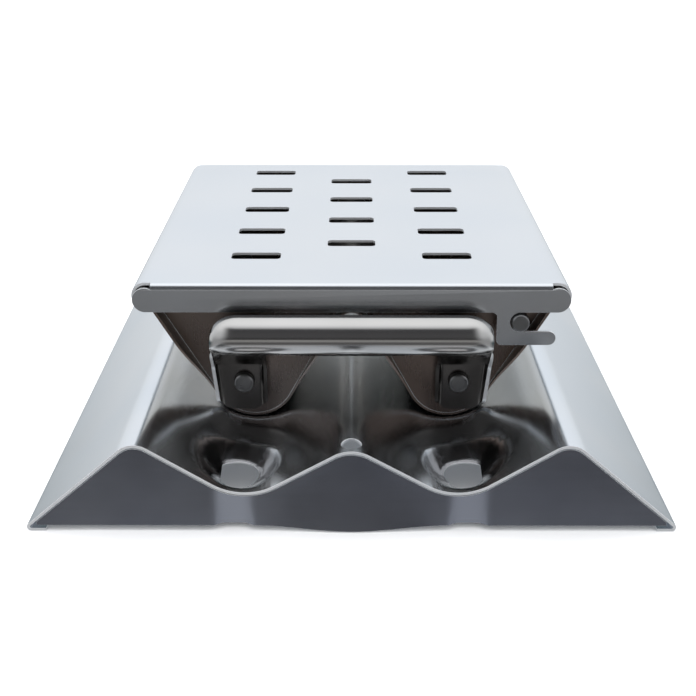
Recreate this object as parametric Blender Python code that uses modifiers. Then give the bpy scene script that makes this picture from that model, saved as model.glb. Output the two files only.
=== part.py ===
"""Grill smoker box on its heat plate, as an assembly of sheet-metal pieces.

A box with two V-shaped troughs holds wood chips under a slotted lid. The lid hooks
over two pins on the right and swings up from the left. The box stands loose in the
two valleys of a wider W-shaped heat plate, and lifts off it.

Metres, +Z up. The front of the object faces -Y, and the origin is on the floor below
the middle of the heat plate.
"""
import math

import bmesh
import bpy
from mathutils import Matrix, Vector

MM = 0.001

# Sheet and clearances
SHEET = 1.0 * MM
HANDLE_SHEET = 1.3 * MM
GAP = 0.3 * MM
CUT_OVERRUN = 4.0 * MM
MERGE = 0.01 * MM
ARC_STEP = math.radians(15)

# Heat plate: the W-shaped sheet that the box stands in
PLATE_WIDTH = 223.6 * MM
PLATE_OVERHANG = 49.0 * MM
RIDGE_X = 72.2 * MM
RIDGE_SHARP_Z = 34.3 * MM
RIDGE_RADIUS = 8.0 * MM
VALLEY_X = 36.0 * MM
VALLEY_Z = 14.8 * MM
VALLEY_RADIUS = 20.0 * MM
VALLEY_SLOPE = math.radians(31)
PEAK_SHARP_Z = 32.0 * MM
PEAK_RADIUS = 12.0 * MM
FOOT_FLANGE = 9.0 * MM
FOOT_RADIUS = 1.5 * MM
PLATE_GRID = 3.6 * MM

# Stamped dishes, one at each end of each valley: each floor falls towards the end
# panel and has a D-shaped drain hole, straight on its outer side
DISH_INSET = 15.0 * MM
DISH_HALF_WIDTH = 20.0 * MM
DISH_HALF_LENGTH = 21.5 * MM
DISH_FLAT_SHARE = 0.62
DISH_TILT = math.radians(12)
DISH_LEVEL_INSET = 10.0 * MM
DISH_RIM = 6.0 * MM
DRAIN_RADIUS = 7.2 * MM
DRAIN_FLAT = 5.8 * MM
DRAIN_INSET = 18.5 * MM
DRAIN_OFFSET = 3.4 * MM
PEAK_HOLE_RADIUS = 3.4 * MM
PEAK_HOLE_INSET = 8.0 * MM

# End panels of the heat plate
PANEL_FOOT_GAP = 2.2 * MM
PANEL_TIP = 1.2 * MM
PANEL_BELLY_HALF = 33.0 * MM
PANEL_BELLY_LIFT = 0.4 * MM
PANEL_BULGE = 0.8 * MM
PANEL_BULGE_RADIUS = 9.0 * MM
PANEL_BOW = 1.2 * MM
PANEL_GRID = 4.5 * MM
PANEL_ROWS = 6

# Trough: one sheet folded into two Vs
BOX_LENGTH = 175.0 * MM
BOX_HEIGHT = 55.3 * MM
TROUGH_RADIUS = 15.8 * MM
TROUGH_RIDGE_RADIUS = 4.5 * MM
TROUGH_RIDGE_DROP = 10.2 * MM
TROUGH_TOP_DROP = 9.4 * MM
TROUGH_LIP = 7.0 * MM
SETTLING_STEPS = 20
LIP_START_RISE = 10.6 * MM
LIP_FULL_RISE = 32.0 * MM

# Lid: one slotted sheet with rolled sides and folded ends
LID_WIDTH = 156.8 * MM
ROLL_RADIUS = 5.0 * MM
FOLD_RADIUS = 1.6 * MM
FOLD_SETBACK = 2.2 * MM
LOBE_SHRINK = 0.5 * MM
ROLL_CLEARANCE = 1.4 * MM
SLOT_LENGTH = 18.6 * MM
SLOT_WIDTH = 7.6 * MM
SLOT_CORNER = 1.6 * MM
SLOT_FRONT_INSET = 32.4 * MM
SLOT_REAR_INSET = 17.4 * MM
SIDE_SLOTS = 5
CENTRE_SLOTS = 4

# Hinge: a hook in each folded end of the lid, over a headed pin
PIN_INSET = 11.7 * MM
PIN_DROP = 14.1 * MM
PIN_RADIUS = 3.2 * MM
HOOK_CLEARANCE = 0.45 * MM
PRONG_REACH = 13.0 * MM
PRONG_HEIGHT = 5.2 * MM
TAB_REACH = 8.3 * MM
TAB_CORNER = 2.0 * MM
PIN_PROUD = 1.1 * MM
PIN_DOME = 0.7 * MM

# Rivets: domed heads, shanks through the end plates and tails behind
SHANK_RADIUS = 1.9 * MM
TAIL_RADIUS = 3.3 * MM
TAIL_HEIGHT = 1.5 * MM
RIVET_RADIUS = 3.8 * MM
RIVET_RIM = 1.3 * MM
RIVET_DOME = 1.2 * MM
RIVET_OFFSET = 3.7 * MM
RIVET_RISE = 15.1 * MM
TURNED_STEPS = 24

# Handle: one stamping, two ears with flanges bent forward below a half-round grip
EAR_INNER_REACH = 7.5 * MM
EAR_OUTER_REACH = 10.3 * MM
EAR_TAPER = 1.4 * MM
EAR_BOTTOM_RISE = 3.6 * MM
EAR_CORNER = 5.0 * MM
EAR_CREASE_RISE = 21.7 * MM
EAR_FLANGE = 3.4 * MM
EAR_BEND_RADIUS = 1.8 * MM
EAR_DRAFT = 0.4 * MM
GRIP_DROP = 16.3 * MM
GRIP_RADIUS = 7.2 * MM
GRIP_STAND = 15.5 * MM
GRIP_END_RADIUS = 8.0 * MM
GRIP_START = math.radians(-95)
GRIP_FINISH = math.radians(112)
GRIP_END_SHARE = 0.45
GRIP_SINK_SHARE = 0.6
EAR_STEPS = 4
NECK_STEPS = 4
GRIP_STEPS = 12
GRIP_SPANS = 8

# Places that follow from the sizes above
BOX_BOTTOM_Z = VALLEY_Z + GAP
LID_TOP_Z = BOX_BOTTOM_Z + BOX_HEIGHT
ROLL_X = LID_WIDTH / 2 - ROLL_RADIUS
FOLD_HALF = ROLL_X - FOLD_SETBACK
LID_FRONT_Y = BOX_LENGTH / 2
HOOK_RADIUS = PIN_RADIUS + HOOK_CLEARANCE
PIN_Z = LID_TOP_Z - PIN_DROP
BAND_Z = PIN_Z + HOOK_RADIUS
TROUGH_FRONT_Y = LID_FRONT_Y - SHEET - GAP
END_FACE_Y = TROUGH_FRONT_Y - TROUGH_LIP
TROUGH_TOP_Z = LID_TOP_Z - TROUGH_TOP_DROP
END_TOP_Z = LID_TOP_Z - SHEET - GAP
SWING_RADIUS = END_TOP_Z - PIN_Z
TROUGH_TOP_X = ROLL_X - ROLL_CLEARANCE
PIN_X = TROUGH_TOP_X - PIN_INSET
PLATE_FRONT_Y = BOX_LENGTH / 2 + PLATE_OVERHANG
SLOT_PITCH = (BOX_LENGTH - SLOT_FRONT_INSET - SLOT_REAR_INSET) / (SIDE_SLOTS - 1)
SHANK_HOLE = SHANK_RADIUS + GAP
RIVET_X = VALLEY_X + RIVET_OFFSET
RIVET_Z = BOX_BOTTOM_Z + RIVET_RISE
EAR_INNER_X = RIVET_X - EAR_INNER_REACH
EAR_OUTER_X = RIVET_X + EAR_OUTER_REACH
ENDS = (-1, 1)
SIDES = (-1, 1)


def settle_trough():
    """The sharp corners of the trough's folds: its rounded floors stand in the middle of
    the valleys, its ridge has its named height and its walls end below the lid's rolls."""
    ridge_top = LID_TOP_Z - TROUGH_RIDGE_DROP
    fold_x = VALLEY_X
    fold_z = BOX_BOTTOM_Z - TROUGH_RADIUS
    ridge_z = ridge_top
    for _ in range(SETTLING_STEPS):
        outer = math.atan((TROUGH_TOP_X - fold_x) / (TROUGH_TOP_Z - fold_z))
        inner = math.atan(fold_x / (ridge_z - fold_z))
        depth = TROUGH_RADIUS / math.sin((outer + inner) / 2)
        tilt = (outer - inner) / 2
        fold_x = VALLEY_X - depth * math.sin(tilt)
        fold_z = BOX_BOTTOM_Z + TROUGH_RADIUS - depth * math.cos(tilt)
        ridge_z = ridge_top + TROUGH_RIDGE_RADIUS * (1 / math.sin(inner) - 1)
    return fold_x, fold_z, ridge_z


FOLD_X, FOLD_Z, TROUGH_RIDGE_Z = settle_trough()


def lerp(a, b, share):
    return a + (b - a) * share


def smooth(value, low, high):
    """0 below low, 1 above high, and a smooth step between them."""
    share = min(max((value - low) / (high - low), 0.0), 1.0)
    return share * share * (3 - 2 * share)


def arc(cx, cy, radius, start, end, step=ARC_STEP):
    """Points on an arc from one angle to another, both ends included."""
    count = max(2, math.ceil(abs(end - start) / step))
    angles = [lerp(start, end, i / count) for i in range(count + 1)]
    return [(cx + radius * math.cos(a), cy + radius * math.sin(a)) for a in angles]


def filleted(corners, step=ARC_STEP):
    """An open outline from (x, y, radius) corners, each rounded by its radius."""
    path = []
    for index, (x, y, radius) in enumerate(corners):
        if radius == 0 or index in (0, len(corners) - 1):
            path.append((x, y))
            continue
        here = Vector((x, y))
        before = (Vector(corners[index - 1][:2]) - here).normalized()
        after = (Vector(corners[index + 1][:2]) - here).normalized()
        half = before.angle(after) / 2
        centre = here + (before + after).normalized() * (radius / math.sin(half))
        first = here + before * (radius / math.tan(half)) - centre
        last = here + after * (radius / math.tan(half)) - centre
        start = math.atan2(first.y, first.x)
        turn = math.remainder(math.atan2(last.y, last.x) - start, 2 * math.pi)
        path += arc(centre.x, centre.y, radius, start, start + turn, step)
    return path


def offset(path, distance):
    """The open outline moved to its left by the distance."""
    moved = []
    for index, point in enumerate(path):
        here = Vector(point)
        before = Vector(path[max(index - 1, 0)])
        after = Vector(path[min(index + 1, len(path) - 1)])
        sides = []
        for a, b in ((before, here), (here, after)):
            if (b - a).length > 0:
                along = (b - a).normalized()
                sides.append(Vector((-along.y, along.x)))
        normal = sum(sides, Vector((0, 0))).normalized()
        moved.append(tuple(here + normal * (distance / normal.dot(sides[0]))))
    return moved


def divided(path, longest):
    """The outline with its long stretches cut into equal steps."""
    points = [path[0]]
    for a, b in zip(path, path[1:]):
        count = max(1, math.ceil(math.dist(a, b) / longest))
        points += [(lerp(a[0], b[0], i / count), lerp(a[1], b[1], i / count))
                   for i in range(1, count + 1)]
    return points


def height_on(path, x):
    """The outline's height at a place across the object."""
    for (x0, z0), (x1, z1) in zip(path, path[1:]):
        if x0 <= x <= x1:
            return lerp(z0, z1, (x - x0) / (x1 - x0))
    return path[-1][1]


def collection(name):
    made = bpy.data.collections.new(name)
    bpy.context.scene.collection.children.link(made)
    return made


def material(name, colour, roughness):
    made = bpy.data.materials.new(name)
    made.use_nodes = True
    shader = made.node_tree.nodes["Principled BSDF"]
    shader.inputs["Base Color"].default_value = (*colour, 1)
    shader.inputs["Metallic"].default_value = 1
    shader.inputs["Roughness"].default_value = roughness
    return made


def new_object(name, mesh, group, finish=None):
    made = bpy.data.objects.new(name, mesh)
    group.objects.link(made)
    if finish:
        mesh.materials.append(finish)
    return made


def grid(rows):
    """A mesh of quads through rows of points, all rows of one length."""
    shape = bmesh.new()
    verts = [[shape.verts.new(point) for point in row] for row in rows]
    for row, following in zip(verts, verts[1:]):
        for i in range(len(row) - 1):
            shape.faces.new((row[i], row[i + 1], following[i + 1], following[i]))
    return shape


def finish_mesh(name, shape):
    mesh = bpy.data.meshes.new(name)
    shape.to_mesh(mesh)
    shape.free()
    return mesh


def solidify(piece, thickness):
    """Gives an open sheet its thickness, on the back of its faces."""
    modifier = piece.modifiers.new("Sheet", "SOLIDIFY")
    modifier.thickness = thickness
    modifier.offset = -1
    modifier.use_even_offset = True
    return modifier


def plate(name, outline, y_front, thickness, group, finish):
    """A flat plate in the XZ plane from a closed outline, its front face at y_front."""
    curve = bpy.data.curves.new(name + "_outline", "CURVE")
    curve.dimensions = "2D"
    curve.fill_mode = "BOTH"
    curve.extrude = thickness / 2
    spline = curve.splines.new("POLY")
    spline.points.add(len(outline) - 1)
    for point, (x, z) in zip(spline.points, outline):
        point.co = (x, z, 0, 1)
    spline.use_cyclic_u = True
    guide = bpy.data.objects.new(name + "_outline", curve)
    guide.rotation_euler = (math.radians(90), 0, 0)
    guide.location = (0, y_front + thickness / 2, 0)
    group.objects.link(guide)
    bpy.context.view_layer.update()
    evaluated = guide.evaluated_get(bpy.context.evaluated_depsgraph_get())
    mesh = bpy.data.meshes.new_from_object(evaluated)
    shape = bmesh.new()
    shape.from_mesh(mesh)
    bmesh.ops.remove_doubles(shape, verts=shape.verts, dist=MERGE)
    bmesh.ops.recalc_face_normals(shape, faces=shape.faces)
    shape.to_mesh(mesh)
    shape.free()
    made = new_object(name, mesh, group, finish)
    made.matrix_world = guide.matrix_world.copy()
    bpy.data.objects.remove(guide)
    return made


def cut(piece, cutter):
    modifier = piece.modifiers.new("Cut", "BOOLEAN")
    modifier.operation = "DIFFERENCE"
    modifier.object = cutter
    modifier.solver = "EXACT"


def drills(name, radius, depth, places, along, group):
    """One cutter of round holes along Y or Z, centred on the places."""
    turn = Matrix.Rotation(math.radians(90), 4, "X") if along == "Y" else Matrix()
    shape = bmesh.new()
    for place in places:
        bmesh.ops.create_cone(shape, cap_ends=True, segments=TURNED_STEPS,
                              radius1=radius, radius2=radius, depth=depth,
                              matrix=Matrix.Translation(place) @ turn)
    made = new_object(name, finish_mesh(name, shape), group)
    made.hide_render = True
    made.display_type = "WIRE"
    return made


def prisms(name, outlines, low, high, group):
    """One cutter of upright prisms on closed outlines in the XY plane."""
    shape = bmesh.new()
    for outline in outlines:
        face = shape.faces.new([shape.verts.new((x, y, low)) for x, y in outline])
        raised = bmesh.ops.extrude_face_region(shape, geom=[face])["geom"]
        lift = [item for item in raised if isinstance(item, bmesh.types.BMVert)]
        bmesh.ops.translate(shape, verts=lift, vec=(0, 0, high - low))
    bmesh.ops.recalc_face_normals(shape, faces=shape.faces)
    made = new_object(name, finish_mesh(name, shape), group)
    made.hide_render = True
    made.display_type = "WIRE"
    return made


def turned(name, profile, location, facing, group, finish):
    """A piece turned about Y: the profile gives (radius, depth), front to back."""
    shape = bmesh.new()
    verts = [shape.verts.new((radius, 0, -depth)) for radius, depth in profile]
    for a, b in zip(verts, verts[1:]):
        shape.edges.new((a, b))
    made = new_object(name, finish_mesh(name, shape), group, finish)
    screw = made.modifiers.new("Turn", "SCREW")
    screw.steps = TURNED_STEPS
    screw.render_steps = TURNED_STEPS
    screw.use_merge_vertices = True
    screw.merge_threshold = MERGE
    made.rotation_euler = (math.radians(90) * -facing, 0, 0)
    made.location = location
    return made


def smooth_shading(piece):
    piece.data.shade_smooth()
    piece.data.set_sharp_from_angle(angle=math.radians(35))


def mirrored(half):
    """A whole outline from its right half, which starts on the middle line."""
    left = [(-x, z, radius) for x, z, radius in reversed(half[1:])]
    return left + half


def plate_profile():
    """The heat plate's outer surface, flange to flange, seen from the front."""
    valley_drop = VALLEY_RADIUS * (1 / math.cos(VALLEY_SLOPE) - 1)
    edge = PLATE_WIDTH / 2
    return filleted(mirrored([
        (0, PEAK_SHARP_Z, PEAK_RADIUS),
        (VALLEY_X, VALLEY_Z - valley_drop, VALLEY_RADIUS),
        (RIDGE_X, RIDGE_SHARP_Z, RIDGE_RADIUS),
        (edge, 0, FOOT_RADIUS),
        (edge - FOOT_FLANGE, 0, 0),
    ]))


def trough_profile():
    """The trough's outer surface, wall top to wall top, seen from the front."""
    return filleted(mirrored([
        (0, TROUGH_RIDGE_Z, TROUGH_RIDGE_RADIUS),
        (FOLD_X, FOLD_Z, TROUGH_RADIUS),
        (TROUGH_TOP_X, TROUGH_TOP_Z, 0),
    ]))


def dish_floor(inset):
    """A dish's floor height: it starts at the valley's and falls towards the end panel."""
    reach = DISH_INSET + DISH_HALF_LENGTH
    return VALLEY_Z - math.tan(DISH_TILT) * max(reach - max(inset, DISH_LEVEL_INSET), 0)


def pressed(x, y, z):
    """The heat plate's height at a place: its folds, pressed down to the dishes' floors."""
    inset = PLATE_FRONT_Y - abs(y)
    across = (abs(x) - VALLEY_X) / DISH_HALF_WIDTH
    along = (inset - DISH_INSET) / DISH_HALF_LENGTH
    rim = smooth(inset, SHEET + GAP, SHEET + GAP + DISH_RIM)
    share = rim * (1 - smooth(math.hypot(across, along), DISH_FLAT_SHARE, 1))
    return lerp(z, dish_floor(inset), share)


def drain_outline(side):
    """A D around the drain hole's centre, with its straight side away from the middle."""
    turn = math.acos(DRAIN_FLAT / DRAIN_RADIUS)
    return [(side * x, y) for x, y in arc(0, 0, DRAIN_RADIUS, turn, 2 * math.pi - turn)]


def make_heat_plate(group, cutters, finish):
    profile = divided(plate_profile(), PLATE_GRID)
    reach = DISH_INSET + DISH_HALF_LENGTH
    steps = math.ceil((reach - SHEET - GAP) / PLATE_GRID)
    insets = [0] + [lerp(SHEET + GAP, reach, i / steps) for i in range(steps + 1)]
    front = [inset - PLATE_FRONT_Y for inset in insets]
    rows = []
    for y in front + [-y for y in reversed(front)]:
        rows.append([(x, y, pressed(x, y, z)) for x, z in profile])
    made = new_object("heat_plate", finish_mesh("heat_plate", grid(rows)), group, finish)
    solidify(made, SHEET)
    drains = []
    for end in ENDS:
        for side in SIDES:
            x = side * (VALLEY_X + DRAIN_OFFSET)
            y = end * (PLATE_FRONT_Y - DRAIN_INSET)
            drains.append([(x + dx, y + dy) for dx, dy in drain_outline(side)])
    low = dish_floor(0) - SHEET - CUT_OVERRUN
    cut(made, prisms("drain_cutter", drains, low, VALLEY_Z + CUT_OVERRUN, cutters))
    peaks = [(0, end * (PLATE_FRONT_Y - PEAK_HOLE_INSET), PEAK_SHARP_Z) for end in ENDS]
    depth = 2 * (PEAK_RADIUS + CUT_OVERRUN)
    cut(made, drills("peak_cutter", PEAK_HOLE_RADIUS, depth, peaks, "Z", cutters))
    return made


def make_panel(name, facing, group, finish):
    """An end panel below the sheet: a flat apron with a belly, bulged by the dishes."""
    top = offset(plate_profile(), -(SHEET + GAP))
    slope = RIDGE_SHARP_Z / (PLATE_WIDTH / 2 - RIDGE_X)
    edge = PLATE_WIDTH / 2 - (PANEL_FOOT_GAP + PANEL_TIP) / slope
    edge -= (SHEET + GAP) / math.sin(math.atan(slope))
    rows = [[] for _ in range(PANEL_ROWS + 1)]
    count = 2 * math.ceil(edge / PANEL_GRID)
    above = top[top.index(min(top)):top.index(max(top)) + 1]
    for i in range(count + 1):
        x = lerp(-edge, edge, i / count)
        belly = 1 - smooth(abs(x), 0, PANEL_BELLY_HALF)
        foot = lerp(PANEL_FOOT_GAP, PANEL_BELLY_LIFT, belly)
        head = height_on(above, x)
        dent = math.hypot(1, (abs(x) - VALLEY_X) / PANEL_BULGE_RADIUS)
        for j, row in enumerate(rows):
            share = j / PANEL_ROWS
            hump = math.sin(math.pi * share) / dent ** 4
            bow = PANEL_BULGE * hump + PANEL_BOW * belly * (1 - share) ** 2
            row.append((x, facing * (PLATE_FRONT_Y + bow), lerp(foot, head, share)))
    if facing > 0:
        rows.reverse()
    made = new_object(name, finish_mesh(name, grid(rows)), group, finish)
    solidify(made, SHEET)
    return made


def make_trough(group, finish):
    """The folded trough; its ends reach past the end plates, less near the bottom."""
    profile = trough_profile()
    low = BOX_BOTTOM_Z + LIP_START_RISE
    high = BOX_BOTTOM_Z + LIP_FULL_RISE
    rows = []
    for end in reversed(ENDS):
        row = []
        for x, z in profile:
            row.append((x, end * (END_FACE_Y + TROUGH_LIP * smooth(z, low, high)), z))
        rows.append(row)
    made = new_object("trough", finish_mesh("trough", grid(rows)), group, finish)
    solidify(made, SHEET)
    return made


def end_plate_outline():
    """Follows the inside of the trough; its top corners clear the swinging lid."""
    inside = offset(trough_profile(), SHEET + GAP)
    reach = inside[-1][0] - PIN_X
    start = math.acos(reach / SWING_RADIUS)
    corner = arc(PIN_X, PIN_Z, SWING_RADIUS, start, math.radians(90))
    return inside + corner + [(-x, z) for x, z in reversed(corner)]


def make_end_plate(name, facing, group, finish, cutter):
    y_front = END_FACE_Y - SHEET if facing > 0 else -END_FACE_Y
    made = plate(name, end_plate_outline(), y_front, SHEET, group, finish)
    cut(made, cutter)
    return made


def cheek_outline():
    """The folded end of the lid: a band with round lobes, and the hook on the right."""
    lobe = ROLL_RADIUS - LOBE_SHRINK
    lobe_z = BAND_Z + lobe
    top = LID_TOP_Z - FOLD_RADIUS
    start = math.acos((FOLD_HALF - ROLL_X) / lobe)
    right_lobe = arc(ROLL_X, lobe_z, lobe, start, math.radians(-90))
    left_lobe = [(-x, z) for x, z in reversed(right_lobe)]
    hook = arc(PIN_X, PIN_Z, HOOK_RADIUS, math.radians(90), math.radians(270))
    prong_top = PIN_Z - HOOK_RADIUS
    prong_low = prong_top - PRONG_HEIGHT
    tip = PRONG_HEIGHT / 2
    prong = arc(PIN_X + PRONG_REACH - tip, prong_low + tip, tip,
                math.radians(90), math.radians(-90))
    tab_x = PIN_X - TAB_REACH
    tab = filleted([(prong[-1][0], prong_low, 0), (tab_x, prong_low, TAB_CORNER),
                    (tab_x, BAND_Z, TAB_CORNER), (0, BAND_Z, 0)])
    return [(FOLD_HALF, top)] + right_lobe + hook + prong + tab[1:-1] + left_lobe


def make_lid(group, cutters, finish):
    roll = arc(ROLL_X, LID_TOP_Z - ROLL_RADIUS, ROLL_RADIUS, math.radians(90), math.radians(-90))
    across = [(-x, z) for x, z in reversed(roll)] + [(-FOLD_HALF, LID_TOP_Z), (FOLD_HALF, LID_TOP_Z)]
    across += roll
    fold_at = len(roll)
    fold_y = LID_FRONT_Y - FOLD_RADIUS
    shape = bmesh.new()
    edges = []
    for y in (-fold_y, fold_y):
        edges.append([shape.verts.new((x, y, z)) for x, z in across])
    for i in range(len(across) - 1):
        shape.faces.new((edges[0][i], edges[0][i + 1], edges[1][i + 1], edges[1][i]))
    bend = arc(fold_y, LID_TOP_Z - FOLD_RADIUS, FOLD_RADIUS, math.radians(90), 0)
    for end, edge in zip(ENDS, edges):
        left, right = edge[fold_at], edge[fold_at + 1]
        for y, z in bend[1:]:
            next_left = shape.verts.new((-FOLD_HALF, end * y, z))
            next_right = shape.verts.new((FOLD_HALF, end * y, z))
            shape.faces.new((next_left, next_right, right, left))
            left, right = next_left, next_right
        outline = [shape.verts.new((x, end * LID_FRONT_Y, z)) for x, z in cheek_outline()[1:]]
        shape.faces.new([left, right] + outline)
    bmesh.ops.recalc_face_normals(shape, faces=shape.faces)
    made = new_object("lid", finish_mesh("lid", shape), group, finish)
    solidify(made, SHEET)
    cut(made, make_slot_cutter(cutters))
    return made


def slot_places():
    for column in (-VALLEY_X, 0, VALLEY_X):
        count = SIDE_SLOTS if column else CENTRE_SLOTS
        first = SLOT_FRONT_INSET if column else SLOT_FRONT_INSET + SLOT_PITCH / 2
        for i in range(count):
            yield column, first + i * SLOT_PITCH - LID_FRONT_Y


def make_slot_cutter(cutters):
    half_x = SLOT_LENGTH / 2
    half_y = SLOT_WIDTH / 2
    ring = [(half_x, 0, 0), (half_x, half_y, SLOT_CORNER), (-half_x, half_y, SLOT_CORNER),
            (-half_x, -half_y, SLOT_CORNER), (half_x, -half_y, SLOT_CORNER), (half_x, 0, 0)]
    outline = filleted(ring)[:-1]
    slots = [[(x + dx, y + dy) for dx, dy in outline] for x, y in slot_places()]
    low = LID_TOP_Z - SHEET - CUT_OVERRUN / 2
    return prisms("slot_cutter", slots, low, LID_TOP_Z + CUT_OVERRUN / 2, cutters)


def dome(radius, height):
    """A shallow dome's profile from its tip to its rim, as (radius, depth) points."""
    steps = 4
    turns = [math.radians(90) * i / steps for i in range(steps + 1)]
    return [(radius * math.sin(turn), height * (1 - math.cos(turn))) for turn in turns]


def headed(name, head, rim, dome_height, front_y, plates, place, facing, group, finish):
    """A rivet or pin: domed head, shank through the plates, and a peened tail."""
    shoulder = dome_height + rim
    tail = shoulder + plates
    profile = dome(head, dome_height)
    profile += [(head, shoulder), (SHANK_RADIUS, shoulder), (SHANK_RADIUS, tail)]
    back = [(radius, tail + TAIL_HEIGHT - depth) for radius, depth in dome(TAIL_RADIUS, TAIL_HEIGHT)]
    profile += back[::-1]
    location = (place[0], facing * front_y, place[1])
    return turned(name, profile, location, facing, group, finish)


def make_hinge_pin(name, facing, group, finish):
    tip = LID_FRONT_Y + PIN_PROUD + PIN_DOME
    barrel = tip - PIN_DOME - END_FACE_Y - GAP
    return headed(name, PIN_RADIUS, barrel, PIN_DOME, tip, SHEET + 2 * GAP,
                  (PIN_X, PIN_Z), facing, group, finish)


def make_handle_rivet(name, side, group, finish):
    stack = SHEET + HANDLE_SHEET + 3 * GAP
    tip = END_FACE_Y + HANDLE_SHEET + 2 * GAP + RIVET_RIM + RIVET_DOME
    return headed(name, RIVET_RADIUS, RIVET_RIM, RIVET_DOME, tip, stack,
                  (side * RIVET_X, RIVET_Z), -1, group, finish)


def ear_path():
    """Across the right ear, inner edge to outer, as (x, how far forward) points."""
    return filleted([
        (EAR_INNER_X, EAR_FLANGE, 0),
        (EAR_INNER_X + EAR_DRAFT, 0, EAR_BEND_RADIUS),
        (EAR_OUTER_X - EAR_DRAFT, 0, EAR_BEND_RADIUS),
        (EAR_OUTER_X, EAR_FLANGE, 0),
    ], 2 * ARC_STEP)


def handle_section(x, forward):
    """Points up the handle at one place across it: ear, neck and grip, front faces."""
    ear_y = END_FACE_Y + GAP + HANDLE_SHEET + forward
    crease = BOX_BOTTOM_Z + EAR_CREASE_RISE
    bottom = BOX_BOTTOM_Z + EAR_BOTTOM_RISE
    away = min(abs(x) - EAR_INNER_X, EAR_OUTER_X - abs(x))
    if away < EAR_CORNER:
        inside = EAR_CORNER - max(away, 0)
        bottom += EAR_CORNER - math.sqrt(EAR_CORNER ** 2 - inside ** 2)
    ear = [(ear_y, lerp(bottom, crease, i / EAR_STEPS)) for i in range(EAR_STEPS + 1)]
    past = max(abs(x) - (EAR_OUTER_X - GRIP_END_RADIUS), 0) / GRIP_END_RADIUS
    shrink = lerp(GRIP_END_SHARE, 1, math.sqrt(1 - past ** 2))
    radius = GRIP_RADIUS * shrink
    centre_y = END_FACE_Y + GRIP_STAND
    centre_z = LID_TOP_Z - GRIP_DROP - (GRIP_RADIUS - radius) * GRIP_SINK_SHARE
    grip = [(centre_y + radius * math.cos(turn), centre_z + radius * math.sin(turn))
            for turn in (lerp(GRIP_START, GRIP_FINISH, i / GRIP_STEPS)
                         for i in range(GRIP_STEPS + 1))]
    neck = [(lerp(ear_y, grip[0][0], i / NECK_STEPS), lerp(crease, grip[0][1], i / NECK_STEPS))
            for i in range(1, NECK_STEPS)]
    return ear + neck + grip


def make_handle(group, finish, cutter):
    """One open sheet: full height at the ears, and the grip alone between them."""
    ear = divided(ear_path(), EAR_CORNER)
    middle = [(lerp(-EAR_INNER_X, EAR_INNER_X, i / GRIP_SPANS), 0) for i in range(1, GRIP_SPANS)]
    columns = [(-x, forward) for x, forward in reversed(ear)] + middle + ear
    first_grip_row = EAR_STEPS + NECK_STEPS
    shape = bmesh.new()
    sheet = []
    for x, forward in columns:
        is_ear = abs(x) >= EAR_INNER_X - MERGE
        column = []
        for row, (y, z) in enumerate(handle_section(x, forward)):
            taper = 0
            if row < EAR_STEPS and abs(x) > EAR_INNER_X + MERGE:
                across = (abs(x) - EAR_INNER_X) / (EAR_OUTER_X - EAR_INNER_X)
                taper = EAR_TAPER * across * (1 - row / EAR_STEPS)
            keep = is_ear or row >= first_grip_row
            place = (x - math.copysign(taper, x), -y, z)
            column.append(shape.verts.new(place) if keep else None)
        sheet.append(column)
    for a, b in zip(sheet, sheet[1:]):
        for row in range(len(a) - 1):
            corners = (a[row], b[row], b[row + 1], a[row + 1])
            if None not in corners:
                shape.faces.new(corners)
    made = new_object("handle", finish_mesh("handle", shape), group, finish)
    solidify(made, HANDLE_SHEET)
    cut(made, cutter)
    return made


def main():
    for item in list(bpy.data.objects):
        bpy.data.objects.remove(item)
    parts = collection("grill_smoker_box")
    cutters = collection("cutters")
    plate_steel = material("plate_steel", (0.62, 0.63, 0.65), 0.28)
    box_steel = material("box_steel", (0.50, 0.47, 0.45), 0.32)
    lid_steel = material("lid_steel", (0.66, 0.67, 0.69), 0.26)
    handle_steel = material("handle_steel", (0.60, 0.59, 0.58), 0.24)
    rivet_steel = material("rivet_steel", (0.52, 0.52, 0.52), 0.35)

    through = 2 * (LID_FRONT_Y + CUT_OVERRUN)
    pin_drill = drills("pin_cutter", SHANK_HOLE, through, [(PIN_X, 0, PIN_Z)], "Y", cutters)
    rivets = [(side * RIVET_X, -END_FACE_Y, RIVET_Z) for side in SIDES]
    rivet_depth = 2 * (SHEET + HANDLE_SHEET + CUT_OVERRUN)
    rivet_drill = drills("rivet_cutter", SHANK_HOLE, rivet_depth, rivets, "Y", cutters)

    made = [
        make_heat_plate(parts, cutters, plate_steel),
        make_panel("heat_plate_front_panel", -1, parts, plate_steel),
        make_panel("heat_plate_rear_panel", 1, parts, plate_steel),
        make_trough(parts, box_steel),
        make_end_plate("rear_end_plate", 1, parts, box_steel, pin_drill),
        make_lid(parts, cutters, lid_steel),
        make_hinge_pin("hinge_pin_front", -1, parts, rivet_steel),
        make_hinge_pin("hinge_pin_rear", 1, parts, rivet_steel),
        make_handle(parts, handle_steel, rivet_drill),
        make_handle_rivet("handle_rivet_left", -1, parts, rivet_steel),
        make_handle_rivet("handle_rivet_right", 1, parts, rivet_steel),
    ]
    front = make_end_plate("front_end_plate", -1, parts, box_steel, pin_drill)
    cut(front, rivet_drill)
    for piece in made + [front]:
        smooth_shading(piece)


main()
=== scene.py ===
"""The looks of the grill smoker box: fine sheet-metal pieces and steels round the frame.

Metres, in the frame's own axes: +Z up, the front faces -Y.
"""
import math

import bmesh
import bpy
from mathutils import Matrix, Vector, noise


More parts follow.
